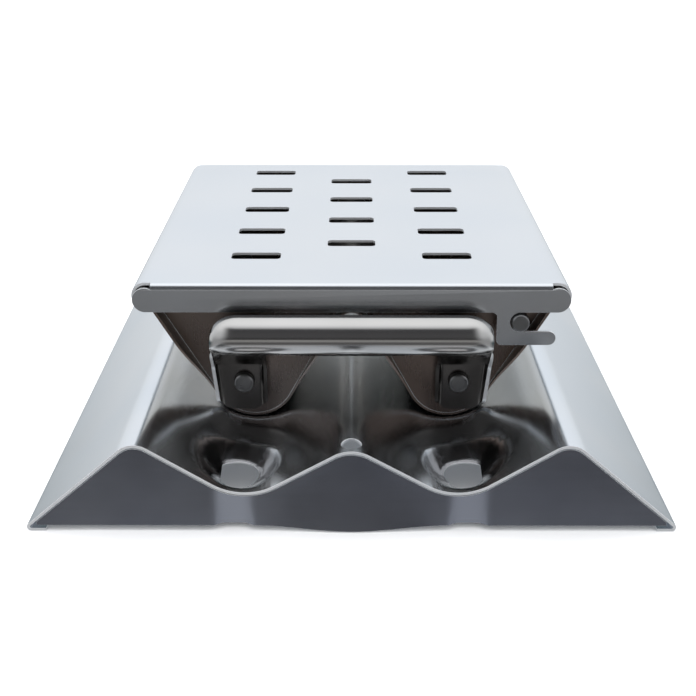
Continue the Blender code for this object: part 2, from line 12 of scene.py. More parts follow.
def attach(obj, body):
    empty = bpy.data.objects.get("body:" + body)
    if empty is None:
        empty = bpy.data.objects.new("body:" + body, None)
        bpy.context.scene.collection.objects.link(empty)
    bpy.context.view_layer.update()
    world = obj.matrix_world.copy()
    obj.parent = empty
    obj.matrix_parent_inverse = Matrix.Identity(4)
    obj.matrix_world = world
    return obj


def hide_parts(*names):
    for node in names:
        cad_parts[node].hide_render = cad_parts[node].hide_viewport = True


MM = 0.001

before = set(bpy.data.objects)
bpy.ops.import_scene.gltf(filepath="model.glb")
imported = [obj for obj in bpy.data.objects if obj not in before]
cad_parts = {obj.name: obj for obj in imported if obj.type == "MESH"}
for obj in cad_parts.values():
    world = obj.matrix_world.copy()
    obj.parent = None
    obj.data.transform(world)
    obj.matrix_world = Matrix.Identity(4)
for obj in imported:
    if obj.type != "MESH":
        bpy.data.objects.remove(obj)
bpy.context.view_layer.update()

# Sheets and edges
SHEET = 1.0 * MM
HANDLE_SHEET = 1.3 * MM
GAP = 0.3 * MM
WELD = 0.05 * MM
EDGE = 0.3 * MM
PLATE_EDGE = 0.45 * MM
EDGE_SEGMENTS = 2
SHARP_ANGLE = math.radians(40)
MERGE = 0.01 * MM
ARC_STEP = math.radians(5)
BEND_STEP = 2 * ARC_STEP
COARSE_STEP = 3 * ARC_STEP

# Heat plate
PLATE_WIDTH = 223.6 * MM
PLATE_OVERHANG = 49.0 * MM
RIDGE_X = 72.2 * MM
RIDGE_SHARP_Z = 34.3 * MM
RIDGE_RADIUS = 8.0 * MM
VALLEY_X = 36.0 * MM
VALLEY_Z = 14.8 * MM
VALLEY_RADIUS = 20.0 * MM
VALLEY_SLOPE = math.radians(31)
PEAK_SHARP_Z = 32.0 * MM
PEAK_RADIUS = 12.0 * MM
FOOT_FLANGE = 9.0 * MM
FOOT_RADIUS = 1.5 * MM
PLATE_GRID = 2.0 * MM
PLATE_LONG_GRID = 9.0 * MM

# Stamped dishes: each floor falls towards the end panel and has a D-shaped drain hole
DISH_INSET = 18.5 * MM
DISH_OFFSET = 3.0 * MM
DISH_HALF_WIDTH = 14.5 * MM
DISH_HALF_LENGTH = 17.5 * MM
DISH_FLAT_SHARE = 0.2
DISH_TILT = math.radians(12)
DISH_LEVEL_INSET = 10.0 * MM
DISH_RIM = 6.0 * MM
DISH_GRID = 0.65 * MM
# Painted shade in the dishes: the colour mixed into the plate steel there, and where that fades
# out
DISH_PAINTED_SHADE = (0.26, 0.26, 0.27)
DISH_PAINTED_SHADE_FADE = (0.85, 1.0)
DRAIN_RADIUS = 7.2 * MM
DRAIN_FLAT = 5.8 * MM
DRAIN_INSET = 18.5 * MM
DRAIN_OFFSET = 3.4 * MM
DRAIN_DRAW = 0.35 * MM
DRAIN_DRAW_WIDTH = 1.0 * MM
WRINKLE_DEPTH = 0.22 * MM
WRINKLE_REACH = 7.0 * MM
WRINKLE_SIZE = 2.4 * MM
PEAK_HOLE_RADIUS = 3.4 * MM
PEAK_HOLE_INSET = 6.0 * MM

# End panels
PANEL_FOOT_GAP = 2.2 * MM
PANEL_TIP = 1.2 * MM
PANEL_BELLY_HALF = 33.0 * MM
PANEL_BELLY_LIFT = 0.4 * MM
PANEL_DENT = 1.8 * MM
PANEL_DENT_HALF = 7.0 * MM
PANEL_DENT_FLAT = 3.4 * MM
PANEL_BOW = 1.2 * MM
PANEL_GRID = 1.5 * MM
PANEL_ROWS = 20

# Trough
BOX_LENGTH = 175.0 * MM
BOX_HEIGHT = 55.3 * MM
TROUGH_RADIUS = 15.8 * MM
TROUGH_RIDGE_RADIUS = 4.5 * MM
TROUGH_RIDGE_DROP = 11.2 * MM
TROUGH_TOP_DROP = 9.4 * MM
TROUGH_LIP = 7.0 * MM
TROUGH_GRID = 4.0 * MM
SETTLING_STEPS = 20
LIP_START_RISE = 10.6 * MM
LIP_FULL_RISE = 32.0 * MM

# Lid
LID_WIDTH = 156.8 * MM
ROLL_RADIUS = 5.0 * MM
FOLD_RADIUS = 2.1 * MM
FOLD_SETBACK = 2.2 * MM
LOBE_SHRINK = 0.5 * MM
ROLL_CLEARANCE = 1.4 * MM
SLOT_LENGTH = 18.6 * MM
SLOT_WIDTH = 7.6 * MM
SLOT_CORNER = 1.6 * MM
SLOT_FRONT_INSET = 32.4 * MM
SLOT_REAR_INSET = 17.4 * MM
SIDE_SLOTS = 5
CENTRE_SLOTS = 4
CUT_OVERRUN = 4.0 * MM

# Hinge, pins and rivets
PIN_INSET = 11.7 * MM
PIN_DROP = 14.1 * MM
PIN_RADIUS = 3.2 * MM
HOOK_CLEARANCE = 0.45 * MM
PRONG_REACH = 13.0 * MM
PRONG_HEIGHT = 5.2 * MM
TAB_REACH = 8.3 * MM
TAB_CORNER = 2.0 * MM
PIN_PROUD = 1.1 * MM
PIN_DOME = 0.7 * MM
SHANK_RADIUS = 1.9 * MM
TAIL_RADIUS = 3.3 * MM
TAIL_HEIGHT = 1.5 * MM
RIVET_RADIUS = 3.8 * MM
RIVET_RIM = 1.3 * MM
RIVET_DOME = 1.2 * MM
RIVET_OFFSET = 3.7 * MM
RIVET_RISE = 15.1 * MM
TURNED_STEPS = 48
DOME_STEPS = 8
CROWN_STEPS = 4
TAIL_STEPS = 6

# Handle
EAR_INNER_REACH = 7.5 * MM
EAR_OUTER_REACH = 10.3 * MM
EAR_TAPER = 1.4 * MM
EAR_BOTTOM_RISE = 3.6 * MM
EAR_CORNER = 5.0 * MM
EAR_CREASE_RISE = 21.7 * MM
EAR_FLANGE = 3.4 * MM
EAR_BEND_RADIUS = 1.8 * MM
EAR_DRAFT = 0.4 * MM
GRIP_DROP = 16.3 * MM
GRIP_RADIUS = 7.2 * MM
GRIP_STAND = 15.5 * MM
GRIP_END_RADIUS = 10.0 * MM
GRIP_START = math.radians(-95)
GRIP_FINISH = math.radians(112)
GRIP_END_SHARE = 0.45
GRIP_SINK_SHARE = 0.6
EAR_STEPS = 12
NECK_STEPS = 8
GRIP_STEPS = 32
EAR_COLUMN = 0.9 * MM
GRIP_COLUMN = 2.6 * MM

# Places that follow from the sizes
BOX_BOTTOM_Z = VALLEY_Z + GAP
LID_TOP_Z = BOX_BOTTOM_Z + BOX_HEIGHT
ROLL_X = LID_WIDTH / 2 - ROLL_RADIUS
FOLD_HALF = ROLL_X - FOLD_SETBACK
LID_FRONT_Y = BOX_LENGTH / 2
HOOK_RADIUS = PIN_RADIUS + HOOK_CLEARANCE
PIN_Z = LID_TOP_Z - PIN_DROP
BAND_Z = PIN_Z + HOOK_RADIUS
TROUGH_FRONT_Y = LID_FRONT_Y - SHEET - GAP
END_FACE_Y = TROUGH_FRONT_Y - TROUGH_LIP
TROUGH_TOP_Z = LID_TOP_Z - TROUGH_TOP_DROP
END_TOP_Z = LID_TOP_Z - SHEET - GAP
SWING_RADIUS = END_TOP_Z - PIN_Z
TROUGH_TOP_X = ROLL_X - ROLL_CLEARANCE
PIN_X = TROUGH_TOP_X - PIN_INSET
PLATE_FRONT_Y = BOX_LENGTH / 2 + PLATE_OVERHANG
SLOT_PITCH = (BOX_LENGTH - SLOT_FRONT_INSET - SLOT_REAR_INSET) / (SIDE_SLOTS - 1)
RIVET_X = VALLEY_X + RIVET_OFFSET
RIVET_Z = BOX_BOTTOM_Z + RIVET_RISE
EAR_INNER_X = RIVET_X - EAR_INNER_REACH
EAR_OUTER_X = RIVET_X + EAR_OUTER_REACH
ENDS = (-1, 1)
SIDES = (-1, 1)

# Camera, floor and suns
LENS_MM = 59.5
CAMERA_PLACE = (-0.235 * MM, -469.3 * MM, 208.3 * MM)
CAMERA_TILT = math.radians(90 - 23)
CAMERA_YAW = math.radians(0.15)
FLOOR_HALF = 3.0
PAPER_ROUGHNESS = 0.9
PAPER_SPECULAR = 0.1
PAPER_FIBRES = 30
PAPER_SHADES = (0.90, 0.93)
SUN_SPREAD = math.radians(100)
SUNS = {"fill_front": ((0.3, -1.2, 1.0), 2.2), "fill_back": ((-0.4, 0.6, 1.0), 1.6)}

# What the steel mirrors: colours from straight down (0) over level (0.5) to straight up (1)
SKY_BEHIND = [
    (0.0, (0.42, 0.43, 0.45)), (0.20, (0.28, 0.29, 0.31)), (0.36, (0.07, 0.10, 0.11)),
    (0.46, (0.80, 0.83, 0.86)), (0.70, (0.90, 0.93, 0.97)), (1.0, (1.20, 1.22, 1.25)),
]
SKY_BEFORE = [
    (0.0, (0.58, 0.59, 0.61)), (0.17, (0.50, 0.51, 0.53)), (0.27, (0.085, 0.084, 0.088)),
    (0.34, (0.17, 0.169, 0.17)), (0.43, (0.42, 0.42, 0.42)), (0.49, (0.035, 0.034, 0.035)),
    (0.62, (0.09, 0.09, 0.095)), (0.90, (0.07, 0.07, 0.075)), (0.97, (0.85, 0.87, 0.90)),
    (1.0, (1.15, 1.17, 1.20)),
]
SKY_ASIDE = [
    (0.0, (0.50, 0.51, 0.53)), (0.45, (0.40, 0.41, 0.43)), (0.70, (0.72, 0.74, 0.77)),
    (1.0, (1.15, 1.17, 1.20)),
]
BLACK = (0, 0, 0)
WHITE = (1, 1, 1)
TO_THE_SIDE = [(0.30, BLACK), (0.70, WHITE)]
TO_THE_BACK = [(0.26, BLACK), (0.56, WHITE)]

# Each steel's colour, the colour of its patches, its roughness, how far that varies, the axis
# of its grain, and how metallic it is
STEELS = {
    "edge": ((0.84, 0.85, 0.86), (0.78, 0.80, 0.82), 0.34, 0.06, 1, 0.72),
    "plate": ((0.82, 0.84, 0.86), (0.76, 0.80, 0.84), 0.19, 0.04, 1, 1),
    # panel: a darker, bluer copy of the plate's steel, a painted reflection of the dark room in
    # front
    "panel": ((0.39, 0.41, 0.46), (0.33, 0.35, 0.41), 0.22, 0.04, 0, 1),
    "box": ((0.74, 0.71, 0.68), (0.66, 0.63, 0.58), 0.24, 0.05, 1, 1),
    "inside": ((0.42, 0.40, 0.38), (0.34, 0.32, 0.30), 0.42, 0.06, 1, 1),
    "end": ((0.33, 0.29, 0.27), (0.25, 0.19, 0.16), 0.28, 0.06, 2, 1),
    "lid": ((0.80, 0.82, 0.84), (0.77, 0.80, 0.83), 0.22, 0.04, 1, 1),
    "handle": ((0.60, 0.59, 0.58), (0.54, 0.53, 0.51), 0.17, 0.03, 0, 1),
    # ear: a darker copy of the handle's steel, painted shade for the ears that face the heat
    # plate
    "ear": ((0.20, 0.19, 0.18), (0.15, 0.14, 0.13), 0.26, 0.06, 2, 1),
    "rivet": ((0.30, 0.30, 0.30), (0.24, 0.24, 0.24), 0.34, 0.08, 0, 1),
}
GRAIN_ALONG = 25
GRAIN_ACROSS = 900
GRAIN_DETAIL = 3
GRAIN_SHARE = 0.22
GRAIN_BUMP = 0.003
GRAIN_DEPTH = 0.1 * MM
CLOUD_SCALE = 38
CLOUD_DETAIL = 4
CLOUD_ROUGHNESS = 0.55
CLOUD_SPAN = (0.3, 0.7)
PATCH_SCALE = 17
PATCH_DETAIL = 2
PATCH_SPAN = (0.35, 0.65)

# A piece's steels by number: its faces have the first unless said otherwise, a cut rim has the
# one after its face's, and a rounded edge has the rim's or its neighbours'
RIM_STEEL = 1
TROUGH_INSIDE_STEEL = 2
# The ears' faces take the darker ear steel, which is painted shade
OUTER_EAR_SHADE_STEEL = 2
INNER_EAR_SHADE_STEEL = 4
NEIGHBOUR_STEEL = -1


def lerp(a, b, share):
    return a + (b - a) * share


def smooth(value, low, high):
    """0 below low, 1 above high, and a smooth step between them."""
    share = min(max((value - low) / (high - low), 0.0), 1.0)
    return share * share * (3 - 2 * share)


def arc(cx, cy, radius, start, end, step=ARC_STEP):
    """Points on an arc from one angle to another, both ends included."""
    count = max(2, math.ceil(abs(end - start) / step))
    angles = [lerp(start, end, i / count) for i in range(count + 1)]
    return [(cx + radius * math.cos(a), cy + radius * math.sin(a)) for a in angles]


def filleted(corners, step=ARC_STEP):
    """An open outline from (x, y, radius) corners, each rounded by its radius."""
    path = []
    for index, (x, y, radius) in enumerate(corners):
        if radius == 0 or index in (0, len(corners) - 1):
            path.append((x, y))
            continue
        here = Vector((x, y))
        before = (Vector(corners[index - 1][:2]) - here).normalized()
        after = (Vector(corners[index + 1][:2]) - here).normalized()
        half = before.angle(after) / 2
        centre = here + (before + after).normalized() * (radius / math.sin(half))
        first = here + before * (radius / math.tan(half)) - centre
        last = here + after * (radius / math.tan(half)) - centre
        start = math.atan2(first.y, first.x)
        turn = math.remainder(math.atan2(last.y, last.x) - start, 2 * math.pi)
        path += arc(centre.x, centre.y, radius, start, start + turn, step)
    return path


def offset(path, distance):
    """The open outline moved to its left by the distance."""
    moved = []
    for index, point in enumerate(path):
        here = Vector(point)
        before = Vector(path[max(index - 1, 0)])
        after = Vector(path[min(index + 1, len(path) - 1)])
        sides = []
        for a, b in ((before, here), (here, after)):
            if (b - a).length > 0:
                along = (b - a).normalized()
                sides.append(Vector((-along.y, along.x)))
        normal = sum(sides, Vector((0, 0))).normalized()
        moved.append(tuple(here + normal * (distance / normal.dot(sides[0]))))
    return moved


def divided(path, longest):
    """The outline with its long stretches cut into equal steps."""
    points = [path[0]]
    for a, b in zip(path, path[1:]):
        count = max(1, math.ceil(math.dist(a, b) / longest))
        points += [(lerp(a[0], b[0], i / count), lerp(a[1], b[1], i / count))
                   for i in range(1, count + 1)]
    return points


def height_on(path, x):
    """The outline's height at a place across the object."""
    for (x0, z0), (x1, z1) in zip(path, path[1:]):
        if x0 <= x <= x1:
            return lerp(z0, z1, (x - x0) / (x1 - x0))
    return path[-1][1]


def mirrored(half):
    """A whole outline from its right half, which starts on the middle line."""
    left = [(-x, z, radius) for x, z, radius in reversed(half[1:])]
    return left + half


def new_object(name, data):
    made = bpy.data.objects.new(name, data)
    bpy.context.scene.collection.objects.link(made)
    return made


def grid(rows):
    """A mesh of quads through rows of points, all rows of one length."""
    shape = bmesh.new()
    verts = [[shape.verts.new(point) for point in row] for row in rows]
    for row, following in zip(verts, verts[1:]):
        for i in range(len(row) - 1):
            shape.faces.new((row[i], row[i + 1], following[i + 1], following[i]))
    return shape


def finish_mesh(name, shape):
    mesh = bpy.data.meshes.new(name)
    shape.to_mesh(mesh)
    shape.free()
    return mesh


def make_sheet(name, shape, thickness=SHEET, even=True, inside=0):
    """A smooth sheet: an open mesh that gets its thickness behind its faces."""
    made = new_object(name, finish_mesh(name, shape))
    made.data.shade_smooth()
    modifier = made.modifiers.new("Sheet", "SOLIDIFY")
    modifier.thickness = thickness
    modifier.offset = -1
    modifier.use_even_offset = even
    modifier.material_offset = inside
    modifier.material_offset_rim = RIM_STEEL
    return made


def soften(piece, width=EDGE, finish=RIM_STEEL):
    """Rounds the cut edges a little, as deburred sheet has them."""
    modifier = piece.modifiers.new("Edges", "BEVEL")
    modifier.width = width
    modifier.segments = EDGE_SEGMENTS
    modifier.material = finish
    modifier.limit_method = "ANGLE"
    modifier.angle_limit = SHARP_ANGLE
    modifier.harden_normals = True
    modifier.use_clamp_overlap = True


def cut(piece, cutter):
    modifier = piece.modifiers.new("Cut", "BOOLEAN")
    modifier.operation = "DIFFERENCE"
    modifier.object = cutter
    modifier.solver = "EXACT"


def dress(piece, finishes, body, node):
    """Gives the piece its steels and puts it in its node's place, on its body.

    The modifiers hand the steels out to the faces, so they are applied after that.
    """
    for finish in finishes:
        piece.data.materials.append(finish)
    bpy.context.view_layer.update()
    evaluated = piece.evaluated_get(bpy.context.evaluated_depsgraph_get())
    mesh = bpy.data.meshes.new_from_object(evaluated)
    piece.modifiers.clear()
    piece.data = mesh
    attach(piece, body)
    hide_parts(node)


def plate_profile():
    """The heat plate's outer surface, flange to flange, seen from the front."""
    valley_drop = VALLEY_RADIUS * (1 / math.cos(VALLEY_SLOPE) - 1)
    edge = PLATE_WIDTH / 2
    return filleted(mirrored([
        (0, PEAK_SHARP_Z, PEAK_RADIUS),
        (VALLEY_X, VALLEY_Z - valley_drop, VALLEY_RADIUS),
        (RIDGE_X, RIDGE_SHARP_Z, RIDGE_RADIUS),
        (edge, 0, FOOT_RADIUS),
        (edge - FOOT_FLANGE, 0, 0),
    ]))


def settle_trough():
    """The sharp corners behind the trough's rounded folds, found step by step."""
    ridge_top = LID_TOP_Z - TROUGH_RIDGE_DROP
    fold_x = VALLEY_X
    fold_z = BOX_BOTTOM_Z - TROUGH_RADIUS
    ridge_z = ridge_top
    for _ in range(SETTLING_STEPS):
        outer = math.atan((TROUGH_TOP_X - fold_x) / (TROUGH_TOP_Z - fold_z))
        inner = math.atan(fold_x / (ridge_z - fold_z))
        depth = TROUGH_RADIUS / math.sin((outer + inner) / 2)
        tilt = (outer - inner) / 2
        fold_x = VALLEY_X - depth * math.sin(tilt)
        fold_z = BOX_BOTTOM_Z + TROUGH_RADIUS - depth * math.cos(tilt)
        ridge_z = ridge_top + TROUGH_RIDGE_RADIUS * (1 / math.sin(inner) - 1)
    return fold_x, fold_z, ridge_z


def trough_profile():
    """The trough's outer surface, wall top to wall top, seen from the front."""
    fold_x, fold_z, ridge_z = settle_trough()
    return filleted(mirrored([
        (0, ridge_z, TROUGH_RIDGE_RADIUS),
        (fold_x, fold_z, TROUGH_RADIUS),
        (TROUGH_TOP_X, TROUGH_TOP_Z, 0),
    ]))


def dish_floor(inset):
    """A dish's floor height: it starts at the valley's and falls towards the end panel."""
    reach = DISH_INSET + DISH_HALF_LENGTH
    return VALLEY_Z - math.tan(DISH_TILT) * max(reach - max(inset, DISH_LEVEL_INSET), 0)


def dish_share(x, y):
    """How far a place is inside the nearest dish: zero on its rim, one at its centre."""
    across = (abs(x) - VALLEY_X - DISH_OFFSET) / DISH_HALF_WIDTH
    along = (PLATE_FRONT_Y - abs(y) - DISH_INSET) / DISH_HALF_LENGTH
    return max(1 - math.hypot(across, along), 0)


def pressed(x, y, z):
    """The heat plate's height at a place: its folds, and dishes with a sharp pressed rim."""
    inset = PLATE_FRONT_Y - abs(y)
    inside = dish_share(x, y)
    rim = smooth(inset, SHEET + GAP, SHEET + GAP + DISH_RIM)
    fall = math.tan(DISH_TILT) * inside * DISH_HALF_LENGTH
    share = min(inside / (1 - DISH_FLAT_SHARE), 1)
    share = lerp(share, smooth(share, 0, 1), share)
    return lerp(z, lerp(z - fall, dish_floor(inset), share), rim)


def drain_outline(x, y, side):
    """The D round a drain hole's centre, with its straight side away from the middle."""
    turn = math.acos(DRAIN_FLAT / DRAIN_RADIUS)
    bend = arc(0, 0, DRAIN_RADIUS, turn, 2 * math.pi - turn)
    return [(x + side * dx, y + dy) for dx, dy in bend]


def holes():
    """The heat plate's holes, as closed outlines with their centres."""
    for end in ENDS:
        peak_y = end * (PLATE_FRONT_Y - PEAK_HOLE_INSET)
        yield (0, peak_y), arc(0, peak_y, PEAK_HOLE_RADIUS, 0, 2 * math.pi)[:-1]
        for side in SIDES:
            place = (side * (VALLEY_X + DRAIN_OFFSET), end * (PLATE_FRONT_Y - DRAIN_INSET))
            yield place, drain_outline(*place, side)


def nearest(outline, x, y):
    """The point of a closed outline that is nearest to a place, and how far it is."""
    here = Vector((x, y))
    best = None
    for a, b in zip(outline, outline[1:] + outline[:1]):
        start = Vector(a)
        along = Vector(b) - start
        share = min(max((here - start).dot(along) / along.length_squared, 0), 1)
        point = start + along * share
        if best is None or (point - here).length < best[1]:
            best = (point, (point - here).length)
    return best


def within(outline, x, y):
    """Whether a place lies inside a closed outline."""
    inside = False
    for (x0, y0), (x1, y1) in zip(outline, outline[1:] + outline[:1]):
        if (y0 > y) != (y1 > y) and x < lerp(x0, x1, (y - y0) / (y1 - y0)):
            inside = not inside
    return inside


def plate_height(base, x, y):
    """The heat plate's height: folds, dishes, drawn drain rims and the press's wrinkles."""
    z = pressed(x, y, base)
    for place, outline in holes():
        if place[0] == 0 or math.dist(place, (x, y)) > DRAIN_RADIUS + WRINKLE_REACH:
            continue
        away = nearest(outline, x, y)[1]
        z -= DRAIN_DRAW * (1 - smooth(away, 0, DRAIN_DRAW_WIDTH))
        towards_middle = smooth((abs(place[0]) - abs(x)) / DRAIN_RADIUS, 0, 1)
        fade = towards_middle * (1 - smooth(away, 0, WRINKLE_REACH))
        ripple = noise.noise(Vector((x / WRINKLE_SIZE, y / WRINKLE_SIZE, 0)))
        z += WRINKLE_DEPTH * fade * ripple
    return z


def plate_columns():
    """The plate's profile in steps: short ones across the dishes, long ones elsewhere."""
    profile = plate_profile()
    points = []
    for a, b in zip(profile, profile[1:]):
        middle = abs(a[0] + b[0]) / 2
        near = abs(middle - VALLEY_X - DISH_OFFSET) < DISH_HALF_WIDTH + PLATE_GRID
        points += divided([a, b], DISH_GRID if near else PLATE_GRID)[:-1]
    return points + [profile[-1]]


def make_heat_plate(finishes):
    """One folded sheet with its dishes and holes; its mesh is finest at the dishes."""
    profile = plate_columns()
    reach = DISH_INSET + DISH_HALF_LENGTH
    steps = math.ceil(reach / DISH_GRID)
    insets = [reach * i / steps for i in range(steps + 1)]
    front = [inset - PLATE_FRONT_Y for inset in insets]
    middle = PLATE_FRONT_Y - reach
    spans = math.ceil(2 * middle / PLATE_LONG_GRID)
    between = [lerp(-middle, middle, i / spans) for i in range(1, spans)]
    lines = front + between + [-y for y in reversed(front)]
    rows = [[(x, y, plate_height(z, x, y)) for x, z in profile] for y in lines]
    shape = grid(rows)
    pierce(shape, profile)
    made = make_sheet("heat_plate_sheet", shape, even=False)
    soften(made, PLATE_EDGE)
    dress(made, finishes, "heat_plate_body", "heat_plate")


def pierce(shape, profile):
    """Opens the holes and draws the mesh's broken edge onto their outlines."""
    for place, outline in holes():
        span = max(math.dist(place, point) for point in outline)
        step = PLATE_GRID if place[0] == 0 else DISH_GRID
        inside = []
        for face in shape.faces:
            middle = face.calc_center_median()
            if math.dist(place, middle.xy) < span and within(outline, middle.x, middle.y):
                inside.append(face)
        bmesh.ops.delete(shape, geom=inside, context="FACES")
        for vert in shape.verts:
            if not vert.is_boundary or math.dist(place, vert.co.xy) > span + 2 * step:
                continue
            if abs(abs(vert.co.y) - PLATE_FRONT_Y) < MERGE:
                continue
            point = nearest(outline, vert.co.x, vert.co.y)[0]
            vert.co = (point.x, point.y, plate_height(height_on(profile, point.x), *point))


def make_panel(node, facing, finishes):
    """An end panel below the sheet: an apron with a belly, pressed in below the dishes."""
    top = offset(plate_profile(), -(SHEET + GAP))
    slope = RIDGE_SHARP_Z / (PLATE_WIDTH / 2 - RIDGE_X)
    edge = PLATE_WIDTH / 2 - (PANEL_FOOT_GAP + PANEL_TIP) / slope
    edge -= (SHEET + GAP) / math.sin(math.atan(slope))
    rows = [[] for _ in range(PANEL_ROWS + 1)]
    count = 2 * math.ceil(edge / PANEL_GRID)
    above = top[top.index(min(top)):top.index(max(top)) + 1]
    for i in range(count + 1):
        x = lerp(-edge, edge, i / count)
        belly = 1 - smooth(abs(x), 0, PANEL_BELLY_HALF)
        foot = lerp(PANEL_FOOT_GAP, PANEL_BELLY_LIFT, belly)
        head = height_on(above, x)
        aside = abs(abs(x) - VALLEY_X - DRAIN_OFFSET)
        dent = 1 - smooth(aside, PANEL_DENT_FLAT, PANEL_DENT_HALF)
        for j, row in enumerate(rows):
            share = j / PANEL_ROWS
            bow = PANEL_BOW * belly * (1 - share) ** 2 - PANEL_DENT * dent * (1 - share)
            row.append((x, facing * (PLATE_FRONT_Y + bow), lerp(foot, head, share)))
    if facing > 0:
        rows.reverse()
    made = make_sheet(node + "_sheet", grid(rows))
    soften(made)
    dress(made, finishes, "heat_plate_body", node)


def make_trough(finishes):
    """The folded trough; its ends reach past the end plates, less near the bottom."""
    profile = divided(trough_profile(), TROUGH_GRID)
    low = BOX_BOTTOM_Z + LIP_START_RISE
    high = BOX_BOTTOM_Z + LIP_FULL_RISE
    spans = math.ceil(2 * END_FACE_Y / PLATE_LONG_GRID)
    rows = []
    for i in range(spans + 1):
        share = lerp(1, -1, i / spans)
        row = []
        for x, z in profile:
            row.append((x, share * (END_FACE_Y + TROUGH_LIP * smooth(z, low, high)), z))
        rows.append(row)
    made = make_sheet("trough_sheet", grid(rows), inside=TROUGH_INSIDE_STEEL)
    soften(made)
    dress(made, finishes, "smoker_box", "trough")


def end_plate_outline():
    """Follows the inside of the trough; its top corners clear the swinging lid."""
    inside = offset(trough_profile(), SHEET - WELD)
    reach = inside[-1][0] - PIN_X
    start = math.acos(reach / SWING_RADIUS)
    corner = arc(PIN_X, PIN_Z, SWING_RADIUS, start, math.radians(90))
    return inside + corner + [(-x, z) for x, z in reversed(corner)]


def make_end_plate(node, facing, finishes):
    """A flat plate that closes one end of the trough, its face towards facing."""
    shape = bmesh.new()
    corners = [shape.verts.new((x, facing * END_FACE_Y, z)) for x, z in end_plate_outline()]
    shape.faces.new(corners)
    bmesh.ops.recalc_face_normals(shape, faces=shape.faces)
    face = shape.faces[:][0]
    if face.normal.y * facing < 0:
        face.normal_flip()
    made = make_sheet(node + "_sheet", shape)
    soften(made)
    dress(made, finishes, "smoker_box", node)


def cheek_outline():
    """The folded end of the lid: a band with round lobes, and the hook on the right."""
    lobe = ROLL_RADIUS - LOBE_SHRINK
    lobe_z = BAND_Z + lobe
    top = LID_TOP_Z - FOLD_RADIUS
    start = math.acos((FOLD_HALF - ROLL_X) / lobe)
    right_lobe = arc(ROLL_X, lobe_z, lobe, start, math.radians(-90))
    left_lobe = [(-x, z) for x, z in reversed(right_lobe)]
    hook = arc(PIN_X, PIN_Z, HOOK_RADIUS, math.radians(90), math.radians(270))
    prong_top = PIN_Z - HOOK_RADIUS
    prong_low = prong_top - PRONG_HEIGHT
    tip = PRONG_HEIGHT / 2
    prong = arc(PIN_X + PRONG_REACH - tip, prong_low + tip, tip,
                math.radians(90), math.radians(-90))
    tab_x = PIN_X - TAB_REACH
    tab = filleted([(prong[-1][0], prong_low, 0), (tab_x, prong_low, TAB_CORNER),
                    (tab_x, BAND_Z, TAB_CORNER), (0, BAND_Z, 0)])
    return [(FOLD_HALF, top)] + right_lobe + hook + prong + tab[1:-1] + left_lobe


def make_lid(finishes):
    """One sheet: a slotted top with rolled sides, and a cheek folded down at each end."""
    roll = arc(ROLL_X, LID_TOP_Z - ROLL_RADIUS, ROLL_RADIUS, math.radians(90), math.radians(-90))
    across = [(-x, z) for x, z in reversed(roll)]
    across += [(-FOLD_HALF, LID_TOP_Z), (FOLD_HALF, LID_TOP_Z)] + roll
    fold_at = len(roll)
    fold_y = LID_FRONT_Y - FOLD_RADIUS
    shape = bmesh.new()
    edges = []
    for y in (-fold_y, fold_y):
        edges.append([shape.verts.new((x, y, z)) for x, z in across])
    for i in range(len(across) - 1):
        shape.faces.new((edges[0][i], edges[0][i + 1], edges[1][i + 1], edges[1][i]))
    bend = arc(fold_y, LID_TOP_Z - FOLD_RADIUS, FOLD_RADIUS, math.radians(90), 0, COARSE_STEP)
    for end, edge in zip(ENDS, edges):
        left, right = edge[fold_at], edge[fold_at + 1]
        for y, z in bend[1:]:
            next_left = shape.verts.new((-FOLD_HALF, end * y, z))
            next_right = shape.verts.new((FOLD_HALF, end * y, z))
            shape.faces.new((next_left, next_right, right, left))
            left, right = next_left, next_right
        outline = [shape.verts.new((x, end * LID_FRONT_Y, z)) for x, z in cheek_outline()[1:]]
        shape.faces.new([left, right] + outline)
    bmesh.ops.recalc_face_normals(shape, faces=shape.faces)
    made = make_sheet("lid_sheet", shape)
    cutter = make_slot_cutter()
    for finish in finishes:
        cutter.data.materials.append(finish)
    cut(made, cutter)
    soften(made)
    dress(made, finishes, "lid_body", "lid")
    bpy.data.objects.remove(cutter)


def slot_places():
    """The middles of the lid's slots, column by column."""
    for column in (-VALLEY_X, 0, VALLEY_X):
        count = SIDE_SLOTS if column else CENTRE_SLOTS
        first = SLOT_FRONT_INSET if column else SLOT_FRONT_INSET + SLOT_PITCH / 2
        for i in range(count):
            yield column, first + i * SLOT_PITCH - LID_FRONT_Y


def make_slot_cutter():
    """Rounded blocks through the lid, whose walls get the cut rim's steel."""
    half_x = SLOT_LENGTH / 2
    half_y = SLOT_WIDTH / 2
    ring = [(half_x, 0, 0), (half_x, half_y, SLOT_CORNER), (-half_x, half_y, SLOT_CORNER),
            (-half_x, -half_y, SLOT_CORNER), (half_x, -half_y, SLOT_CORNER), (half_x, 0, 0)]
    outline = filleted(ring, COARSE_STEP)[:-1]
    shape = bmesh.new()
    for x, y in slot_places():
        low = LID_TOP_Z - SHEET - CUT_OVERRUN / 2
        face = shape.faces.new([shape.verts.new((x + dx, y + dy, low)) for dx, dy in outline])
        raised = bmesh.ops.extrude_face_region(shape, geom=[face])["geom"]
        lift = [item for item in raised if isinstance(item, bmesh.types.BMVert)]
        bmesh.ops.translate(shape, verts=lift, vec=(0, 0, SHEET + CUT_OVERRUN))
    bmesh.ops.recalc_face_normals(shape, faces=shape.faces)
    for face in shape.faces:
        face.material_index = RIM_STEEL
    return new_object("slot_cutter", finish_mesh("slot_cutter", shape))


def quarter_turn(steps):
    """The angles of a quarter turn, both ends included."""
    return [math.radians(90) * i / steps for i in range(steps + 1)]


